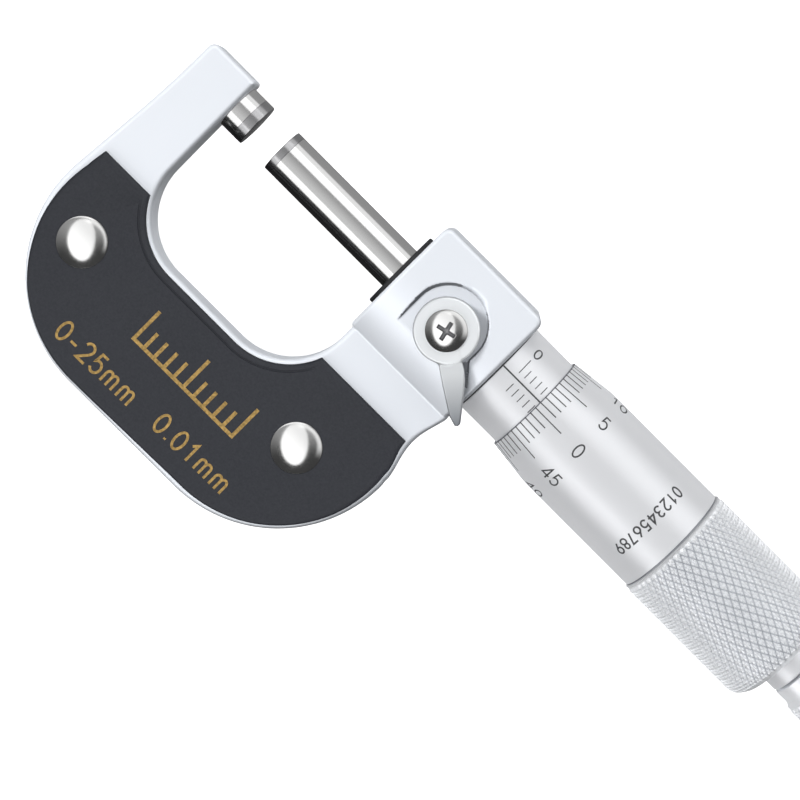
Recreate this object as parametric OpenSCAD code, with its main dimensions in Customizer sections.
// Outside micrometer, 0-25 mm, with lever spindle lock and ratchet stop.
// Origin: centre of the anvil's measuring face. +X runs along the spindle towards
// the ratchet, +Y away from the mouth of the frame, +Z towards the lock lever.

/* [Measuring] */
// Reading at rest: the gap between the two measuring faces
reading = 4.51; // [0.5:0.01:24]
// Diameter of the anvil and the spindle
spindle_d = 6.5; // [6.3:0.01:6.5]
// Thickness of the carbide tip on the spindle
spindle_tip_t = 1.1; // [0.5:0.1:2]
// Thickness of the carbide tip on the anvil
anvil_tip_t = 1.5; // [0.5:0.1:2]

/* [Frame] */
// Thickness of the frame's plate
frame_t = 7.2; // [6.6:0.1:8]
// Radius of the outer bottom corners of the frame
frame_r = 19.6; // [18:0.1:20]
// Radius of the inner bottom corners of the mouth
mouth_r = 9.7; // [8:0.1:10]
// Depth of the mouth below the measuring axis
mouth_depth = 21.5; // [20:0.1:23]
// Distance from the measuring axis to the bottom edge of the frame
frame_depth = 41.7; // [40:0.1:43]
// Thickness of the spindle boss, front to back
boss_t = 17; // [16.4:0.1:18]
// Height of the boss above the measuring axis
boss_top = 8.9; // [8:0.1:10]

/* [Heat-insulating covers] */
// Thickness of each cover
cover_t = 1.3; // [0.8:0.1:2]
// Distance from the frame's edge to the cover's edge
cover_inset = 0.8; // [0.5:0.05:1.5]
// Diameter of the domed cover fasteners
dome_d = 6.9; // [5:0.05:8]
// Height of the domed cover fasteners
dome_h = 1.2; // [0.8:0.1:1.3]

/* [Sleeve and thimble] */
// Diameter of the graduated sleeve
sleeve_d = 14.4; // [14:0.1:14.5]
// Diameter of the thimble at its front edge
thimble_edge_d = 15.1; // [15:0.1:15.4]
// Diameter of the plain part of the thimble
thimble_d = 16.7; // [16:0.1:17.2]
// Diameter over the thimble's knurl
knurl_d = 17.4; // [17:0.1:18]
// Length of the thimble
thimble_len = 47.4; // [47:0.1:48]

/* [Ratchet] */
// Diameter of the plain ring at the front of the ratchet knob
ratchet_ring_d = 8.6; // [8.4:0.1:9]
// Diameter of the ratchet knob over its knurl
ratchet_d = 9.6; // [9:0.1:11]
// Number of ratchet teeth
ratchet_teeth = 12; // [8:1:16]

/* [Spindle lock] */
// Diameter of the lever's hub
lever_hub_d = 8.8; // [8:0.1:9.2]
// Diameter of the lever's screw head
lever_screw_d = 5.8; // [5:0.1:6.2]

/* [Hidden] */
$fn = 96;
e = 0.01;

// frame
fz = frame_t / 2;
boss_x0 = 27.35;
boss_x1 = 45.1;
bz = boss_t / 2;
arm_x1 = -3.7;          // face of the anvil arm
arm_top = 4.1;
out_cx0 = 6.25;
out_cx1 = 25.9;
out_cy = frame_r - frame_depth;
in_cx0 = arm_x1 + mouth_r;
in_cx1 = 27.8 - mouth_r;
in_cy = mouth_r - mouth_depth;
domes = [[-5.3, -27], [33.9, -26.2]];
cbore = 0.3;            // depth of the covers' counterbores

// spindle train along X
tip_x = reading;
sp_x0 = tip_x + spindle_tip_t + 0.02;
thread_x0 = 40.99 + reading;
cone_x0 = 84.49 + reading;
cone_x1 = cone_x0 + 5;
tail_x1 = cone_x1 + 2.5;
bush_r = 6;
bush_x1 = 83;
th_x0 = 47.59 + reading;           // thimble front edge: 0 line at a closed gap
th_x1 = th_x0 + thimble_len;
seat_x0 = th_x1 - 10.5;            // coupling seat
lip_x0 = th_x1 - 2.5;              // lip that the ratchet base passes
base_x1 = th_x1 + 2.7;
knob_x0 = base_x1 + 0.3;
knob_x1 = knob_x0 + 13.5;

// lock
lp = [36.8, -0.9];
pocket_z = 7.3;

// a cylinder along X from x0 to x1
module xc(r, x0, x1) translate([x0, 0, 0]) rotate([0, 90, 0]) cylinder(r = r, h = x1 - x0);
// a cone along X
module xcone(r0, r1, x0, x1) translate([x0, 0, 0]) rotate([0, 90, 0]) cylinder(r1 = r0, r2 = r1, h = x1 - x0);
// a solid turned about X: points are [x, r]
module xturn(pts) rotate([0, 90, 0]) rotate_extrude() polygon([for (p = pts) [p[1], p[0]]]);

// right edge of the frame, from the bottom corner up past the waist to the boss
right_edge = [[45.5, -22.2], [45.4, -20], [45.05, -18], [44.65, -16.2], [44.45, -14.6],
              [44.55, -13.1], [44.8, -12], [45.05, -11], [45.1, -9.6]];
// outline of the frame's plate, drawn in from its edge by d
module outer2d(d = 0) {
  translate([out_cx0, out_cy]) circle(frame_r - d);
  translate([out_cx1, out_cy]) circle(frame_r - d);
  translate([out_cx0, -frame_depth + d]) square([out_cx1 - out_cx0, 30]);
  polygon([[-11.9 + d, arm_top - d], [-11.9 + d, -4], [-12.45 + d, -10.8],
           [-13.25 + d, -19.5], [out_cx0 - frame_r + d + 0.05, out_cy - 0.6], [0, -24],
           [20, -24], [20, arm_top - d]]);
  polygon(concat([[20, -24], [43 - d, -24]], [for (p = right_edge) [p[0] - d, p[1]]],
                 [[boss_x1 - d, 0], [20, 0]]));
}

// the mouth of the frame, widened by d
module mouth2d(d = 0) {
  translate([in_cx0, in_cy]) circle(mouth_r + d);
  translate([in_cx1, in_cy]) circle(mouth_r + d);
  translate([in_cx0, -mouth_depth - d]) square([in_cx1 - in_cx0, 30]);
  translate([arm_x1 - d, in_cy]) square([27.8 - arm_x1 + 2 * d, 40]);
}

// section of the boss across the measuring axis: x is Y, y is Z
module boss2d() {
  translate([1.27, -bz]) square([boss_top - 1.27, boss_t]);
  intersection() {
    translate([1.27, bz - 14.5]) circle(14.5);
    translate([1.27, 14.5 - bz]) circle(14.5);
    translate([-9.6, -bz]) square([11.5, boss_t]);
  }
}

module frame() color([0.91, 0.93, 0.96]) difference() {
  union() {
    translate([0, 0, -fz]) linear_extrude(frame_t) difference() {
      outer2d();
      mouth2d();
    }
    translate([boss_x0, 0, 0]) rotate([90, 0, 90]) linear_extrude(boss_x1 - boss_x0) boss2d();
  }
  // bore for the threaded bush
  xc(bush_r, boss_x0 - 1, boss_x1 + 1);
  // blind hole for the anvil
  xc(2.5, -9.75, 0);
  // pocket for the lock lever
  translate([0, 0, pocket_z]) linear_extrude(3) {
    translate([36.5, -0.3]) circle(5.2);
    translate([31.3, -12]) square([10.4, 11.7]);
    polygon([[41.7 - e, -2], [45.6, -5.4], [45.6, -12], [41.7 - e, -12]]);
  }
  // hole for the lock stud
  translate([lp[0], lp[1], 5]) cylinder(r = 2.05, h = 4);
  // holes for the cover fasteners
  for (p = domes) translate([p[0], p[1], -5]) cylinder(r = 1.8, h = 10);
}

module cover2d() difference() {
  outer2d(cover_inset);
  mouth2d(0.65);
  translate([-20, -16.3]) square([32, 30]);
  translate([12, -15.4]) square([40, 30]);
  for (p = domes) translate(p) circle(1.8);
}

// the rim of each fastener sits in a counterbore
module cover() difference() {
  linear_extrude(cover_t) cover2d();
  for (p = domes) translate([p[0], p[1], cover_t - cbore]) cylinder(r = dome_d / 2 + 0.05, h = 1);
}

module front_cover() color([0.25, 0.26, 0.29]) translate([0, 0, fz]) cover();
module rear_cover() color([0.25, 0.26, 0.29]) mirror([0, 0, 1]) translate([0, 0, fz]) cover();

// a low dome: a slice of a large sphere
module dome(r, h) {
  rs = (r * r + h * h) / (2 * h);
  intersection() {
    translate([0, 0, h - rs]) sphere(rs);
    cylinder(r = r, h = h + 1);
  }
}

module cover_studs() color([0.9, 0.9, 0.9]) for (p = domes) translate([p[0], p[1], 0]) {
  translate([0, 0, fz + cover_t]) dome(dome_d / 2, dome_h);
  translate([0, 0, fz + cover_t - cbore]) cylinder(r = dome_d / 2, h = cbore + e);
  translate([0, 0, -3]) cylinder(r = 1.2, h = fz + cover_t + 3);
}

module cover_stud_nuts() color([0.9, 0.9, 0.9]) for (p = domes) translate([p[0], p[1], 0]) difference() {
  union() {
    mirror([0, 0, 1]) translate([0, 0, fz + cover_t]) dome(dome_d / 2, dome_h);
    translate([0, 0, -fz - cover_t - e]) cylinder(r = dome_d / 2, h = cbore + e);
    translate([0, 0, -fz - cover_t]) cylinder(r = 1.75, h = 2 * fz + 2 * cover_t - cbore - 0.05);
  }
  translate([0, 0, -3.2]) cylinder(r = 1.2, h = 12);
}

module anvil() color([0.75, 0.75, 0.76]) {
  xc(spindle_d / 2, arm_x1, -anvil_tip_t);
  xc(2.5, -9.6, arm_x1 + e);
}

module anvil_tip() color([0.62, 0.62, 0.64])
  xturn([[-anvil_tip_t, 0], [-anvil_tip_t, spindle_d / 2], [-0.1, spindle_d / 2], [0, spindle_d / 2 - 0.1], [0, 0]]);

module spindle_seal() color([0.12, 0.12, 0.13]) difference() {
  xc(5.8, boss_x0 - 0.6, boss_x0);
  xc(spindle_d / 2 + 0.08, boss_x0 - 2, boss_x0 + 2);
}

module threaded_bush() color([0.7, 0.7, 0.72]) difference() {
  union() {
    xc(bush_r, boss_x0, 77);
    xc(5.2, 76.9, bush_x1);
  }
  // guide bore, clearance and nut thread
  xc(spindle_d / 2 + 0.02, boss_x0 - 1, 40.1);
  xc(3.8, 40, 66);
  xc(3.62, 65.9, bush_x1 + 1);
  // slots that let the nut close
  for (a = [0, 120, 240]) rotate([a, 0, 0]) translate([70, -0.3, 0]) cube([15, 0.6, 8]);
  // hole for the lock stud and pad
  translate([lp[0], lp[1], 0]) cylinder(r = 1.95, h = 10);
  translate([lp[0], lp[1], 4.8]) cylinder(r = 2.05, h = 4);
}

module adjusting_nut() color([0.66, 0.66, 0.68]) difference() {
  xturn([[77.6, 0], [77.6, 6.2], [77.9, 6.5], [82.1, 6.5], [82.4, 6.2], [82.4, 0]]);
  xc(5.2, 77, 83);
  // spanner slots
  for (a = [45 : 90 : 315]) rotate([a, 0, 0]) translate([80.4, -0.6, 5.7]) cube([3, 1.2, 3]);
}

module graduated_sleeve() color([0.88, 0.89, 0.9]) difference() {
  xc(sleeve_d / 2, boss_x1 + 0.05, 76.5);
  xc(bush_r + 0.05, boss_x1 - 1, 78);
  // side hole for the hook spanner
  translate([48.5, 0, -10]) cylinder(r = 0.75, h = 6);
}

module spindle_tip() color([0.62, 0.62, 0.64])
  xturn([[tip_x, 0], [tip_x, spindle_d / 2 - 0.1], [tip_x + 0.1, spindle_d / 2],
         [tip_x + spindle_tip_t, spindle_d / 2], [tip_x + spindle_tip_t, 0]]);

module spindle() color([0.75, 0.75, 0.76]) difference() {
  xturn([[sp_x0, 0], [sp_x0, spindle_d / 2], [thread_x0, spindle_d / 2], [thread_x0 + 0.35, 3.6],
         [cone_x0 - 1, 3.6], [cone_x0 - 0.5, 3.3], [cone_x0, 3.3], [cone_x0, 4.9],
         [cone_x1, 3.5], [tail_x1, 3.5], [tail_x1, 0]]);
  xc(2, cone_x1 - 3.5, tail_x1 + 1);
}

module thimble() color([0.88, 0.89, 0.9]) difference() {
  xturn([[th_x0, 0], [th_x0, thimble_edge_d / 2], [th_x0 + 6.9, thimble_d / 2],
         [th_x0 + 25.8, thimble_d / 2], [th_x0 + 26, knurl_d / 2 - 0.15], [th_x0 + 26.15, knurl_d / 2],
         [th_x1 - 1.9, knurl_d / 2], [th_x1 - 1, knurl_d / 2 - 0.25], [th_x1 - 0.3, knurl_d / 2 - 0.9],
         [th_x1, knurl_d / 2 - 1.8], [th_x1, 0]]);
  xc(sleeve_d / 2 + 0.15, th_x0 - 1, seat_x0);
  xc(6.5, seat_x0 - 1, lip_x0);
  xc(4.35, lip_x0 - 1, th_x1 + 1);
}

module thimble_coupling() color([0.7, 0.68, 0.62]) difference() {
  xc(6.5, seat_x0, lip_x0);
  xcone(4.9 + 0.28, 3.5, cone_x0 - 1, cone_x1);
  xc(3.5, cone_x1 - e, lip_x0 + 1);
}

// a ring of ratchet teeth on a face at x0, as tall as h
module teeth(x0, h) difference() {
  xc(3.6, x0, x0 + h);
  xc(2.6, x0 - 1, x0 + h + 1);
  for (i = [0 : ratchet_teeth - 1]) rotate([i * 360 / ratchet_teeth, 0, 0])
    translate([x0 - 1, -0.4, 0]) cube([h + 2, 0.8, 5]);
}

module ratchet_base() color([0.82, 0.82, 0.84]) difference() {
  union() {
    xc(2, cone_x1 - 2.5, lip_x0 + 0.5);
    xturn([[lip_x0, 0], [lip_x0, 4.25], [base_x1 - 0.15, 4.25], [base_x1, 4.1], [base_x1, 0]]);
    xc(2.2, base_x1 - 0.5, knob_x0 + 8.9);
  }
  xc(1, knob_x0 + 2, knob_x0 + 10);
}

module ratchet_clutch() color([0.7, 0.7, 0.72]) {
  difference() {
    xc(3.6, knob_x0 + 2.6, knob_x0 + 4);
    xc(2.2, knob_x0, knob_x0 + 6);
  }
  teeth(knob_x0 + 2.2, 0.41);
}

// compression spring: a tube of six sides swept along a helix
sp_x_a = knob_x0 + 4.3;
sp_x_b = knob_x0 + 8.6;
sp_turns = 4;
sp_rings = 48;
sp_r = 2.85;
sp_w = 0.28;
function sp_pt(i, j) = let (t = i / sp_rings, a = 360 * sp_turns * t, b = 60 * j,
    r = sp_r + sp_w * cos(b))
  [sp_x_a + (sp_x_b - sp_x_a) * t + sp_w * sin(b), r * cos(a), r * sin(a)];
module ratchet_spring() color([0.6, 0.6, 0.62]) polyhedron(
  points = [for (i = [0 : sp_rings], j = [0 : 5]) sp_pt(i, j)],
  faces = concat([[0, 1, 2, 3, 4, 5]],
    [for (i = [0 : sp_rings - 1], j = [0 : 5]) let (k = (j + 1) % 6)
      [6 * i + j, 6 * i + 6 + j, 6 * i + 6 + k, 6 * i + k]],
    [[for (j = [5 : -1 : 0]) 6 * sp_rings + j]]));

module ratchet_end_screw() color([0.8, 0.8, 0.82]) difference() {
  union() {
    xturn([[knob_x0 + 8.9, 0], [knob_x0 + 8.9, 3.3], [knob_x0 + 10.1, 3.3], [knob_x0 + 10.4, 3], [knob_x0 + 10.4, 0]]);
    xc(1, knob_x0 + 3, knob_x0 + 9);
  }
  translate([knob_x0 + 9.8, -0.3, -4]) cube([2, 0.6, 8]);
}

module ratchet_knob() color([0.84, 0.84, 0.86]) {
  difference() {
    xturn([[knob_x0, 0], [knob_x0, ratchet_ring_d / 2 - 0.15], [knob_x0 + 0.15, ratchet_ring_d / 2],
           [knob_x0 + 2.2, ratchet_ring_d / 2], [knob_x0 + 2.9, ratchet_d / 2],
           [knob_x1 - 1, ratchet_d / 2], [knob_x1 - 0.3, ratchet_d / 2 - 0.4],
           [knob_x1, ratchet_d / 2 - 0.9], [knob_x1, 0]]);
    xc(2.26, knob_x0 - 1, knob_x0 + 3);
    xc(3.7, knob_x0 + 1.7, knob_x1 + 1);
  }
  teeth(knob_x0 + 1.69, 0.41);
}

// outline of the lever's blade, seen from +Z
module blade2d() difference() {
  polygon([[37.6, -3.6], [39.4, -0.9], [40.1, -1.8], [42, -2.9], [43.1, -3.8], [44, -4.8],
           [45.2, -6.3], [46.75, -8.3], [46.75, -8.75], [46.4, -9.05], [45, -8.6], [41.6, -6.4], [38.5, -4.3]]);
}

module lock_lever() color([0.9, 0.92, 0.94]) difference() {
  union() {
    translate([lp[0], lp[1], pocket_z + 0.15]) cylinder(r = lever_hub_d / 2, h = 1.75);
    translate([lp[0], lp[1], 9.2]) cylinder(r1 = lever_hub_d / 2, r2 = lever_hub_d / 2 - 0.9, h = 0.4);
    translate([0, 0, 7.6]) linear_extrude(1.8) blade2d();
  }
  translate([lp[0], lp[1], 0]) cylinder(r = 1.1, h = 12);
  translate([lp[0], lp[1], 0]) cylinder(r = 1.9, h = 8.8, $fn = 6);
}

module lock_lever_screw() color([0.88, 0.88, 0.88]) translate([lp[0], lp[1], 0]) difference() {
  union() {
    translate([0, 0, 9.6]) cylinder(r = lever_screw_d / 2, h = 0.5);
    translate([0, 0, 10.1]) dome(lever_screw_d / 2, 1.2);
    translate([0, 0, 5.6]) cylinder(r = 1, h = 4.1);
  }
  rotate([0, 0, 13]) translate([-1.35, -0.3, 10.2]) cube([2.7, 0.6, 3]);
  rotate([0, 0, 13]) translate([-0.3, -1.35, 10.2]) cube([0.6, 2.7, 3]);
}

module lock_stud() color([0.72, 0.72, 0.74]) translate([lp[0], lp[1], 0]) difference() {
  union() {
    translate([0, 0, 4.95]) cylinder(r = 2, h = 2.55);
    translate([0, 0, 7.4]) cylinder(r = 1.9, h = 1.4, $fn = 6);
  }
  translate([0, 0, 5.5]) cylinder(r = 1, h = 4);
}

module lock_pad() color([0.8, 0.65, 0.35]) difference() {
  translate([lp[0], lp[1], 2.6]) cylinder(r = 1.9, h = 2.2);
  xc(spindle_d / 2 + 0.1, 30, 45);
}

frame();
front_cover();
rear_cover();
cover_studs();
cover_stud_nuts();
anvil();
anvil_tip();
spindle_seal();
threaded_bush();
adjusting_nut();
graduated_sleeve();
spindle_tip();
spindle();
thimble();
thimble_coupling();
ratchet_base();
ratchet_clutch();
ratchet_spring();
ratchet_end_screw();
ratchet_knob();
lock_lever();
lock_lever_screw();
lock_stud();
lock_pad();
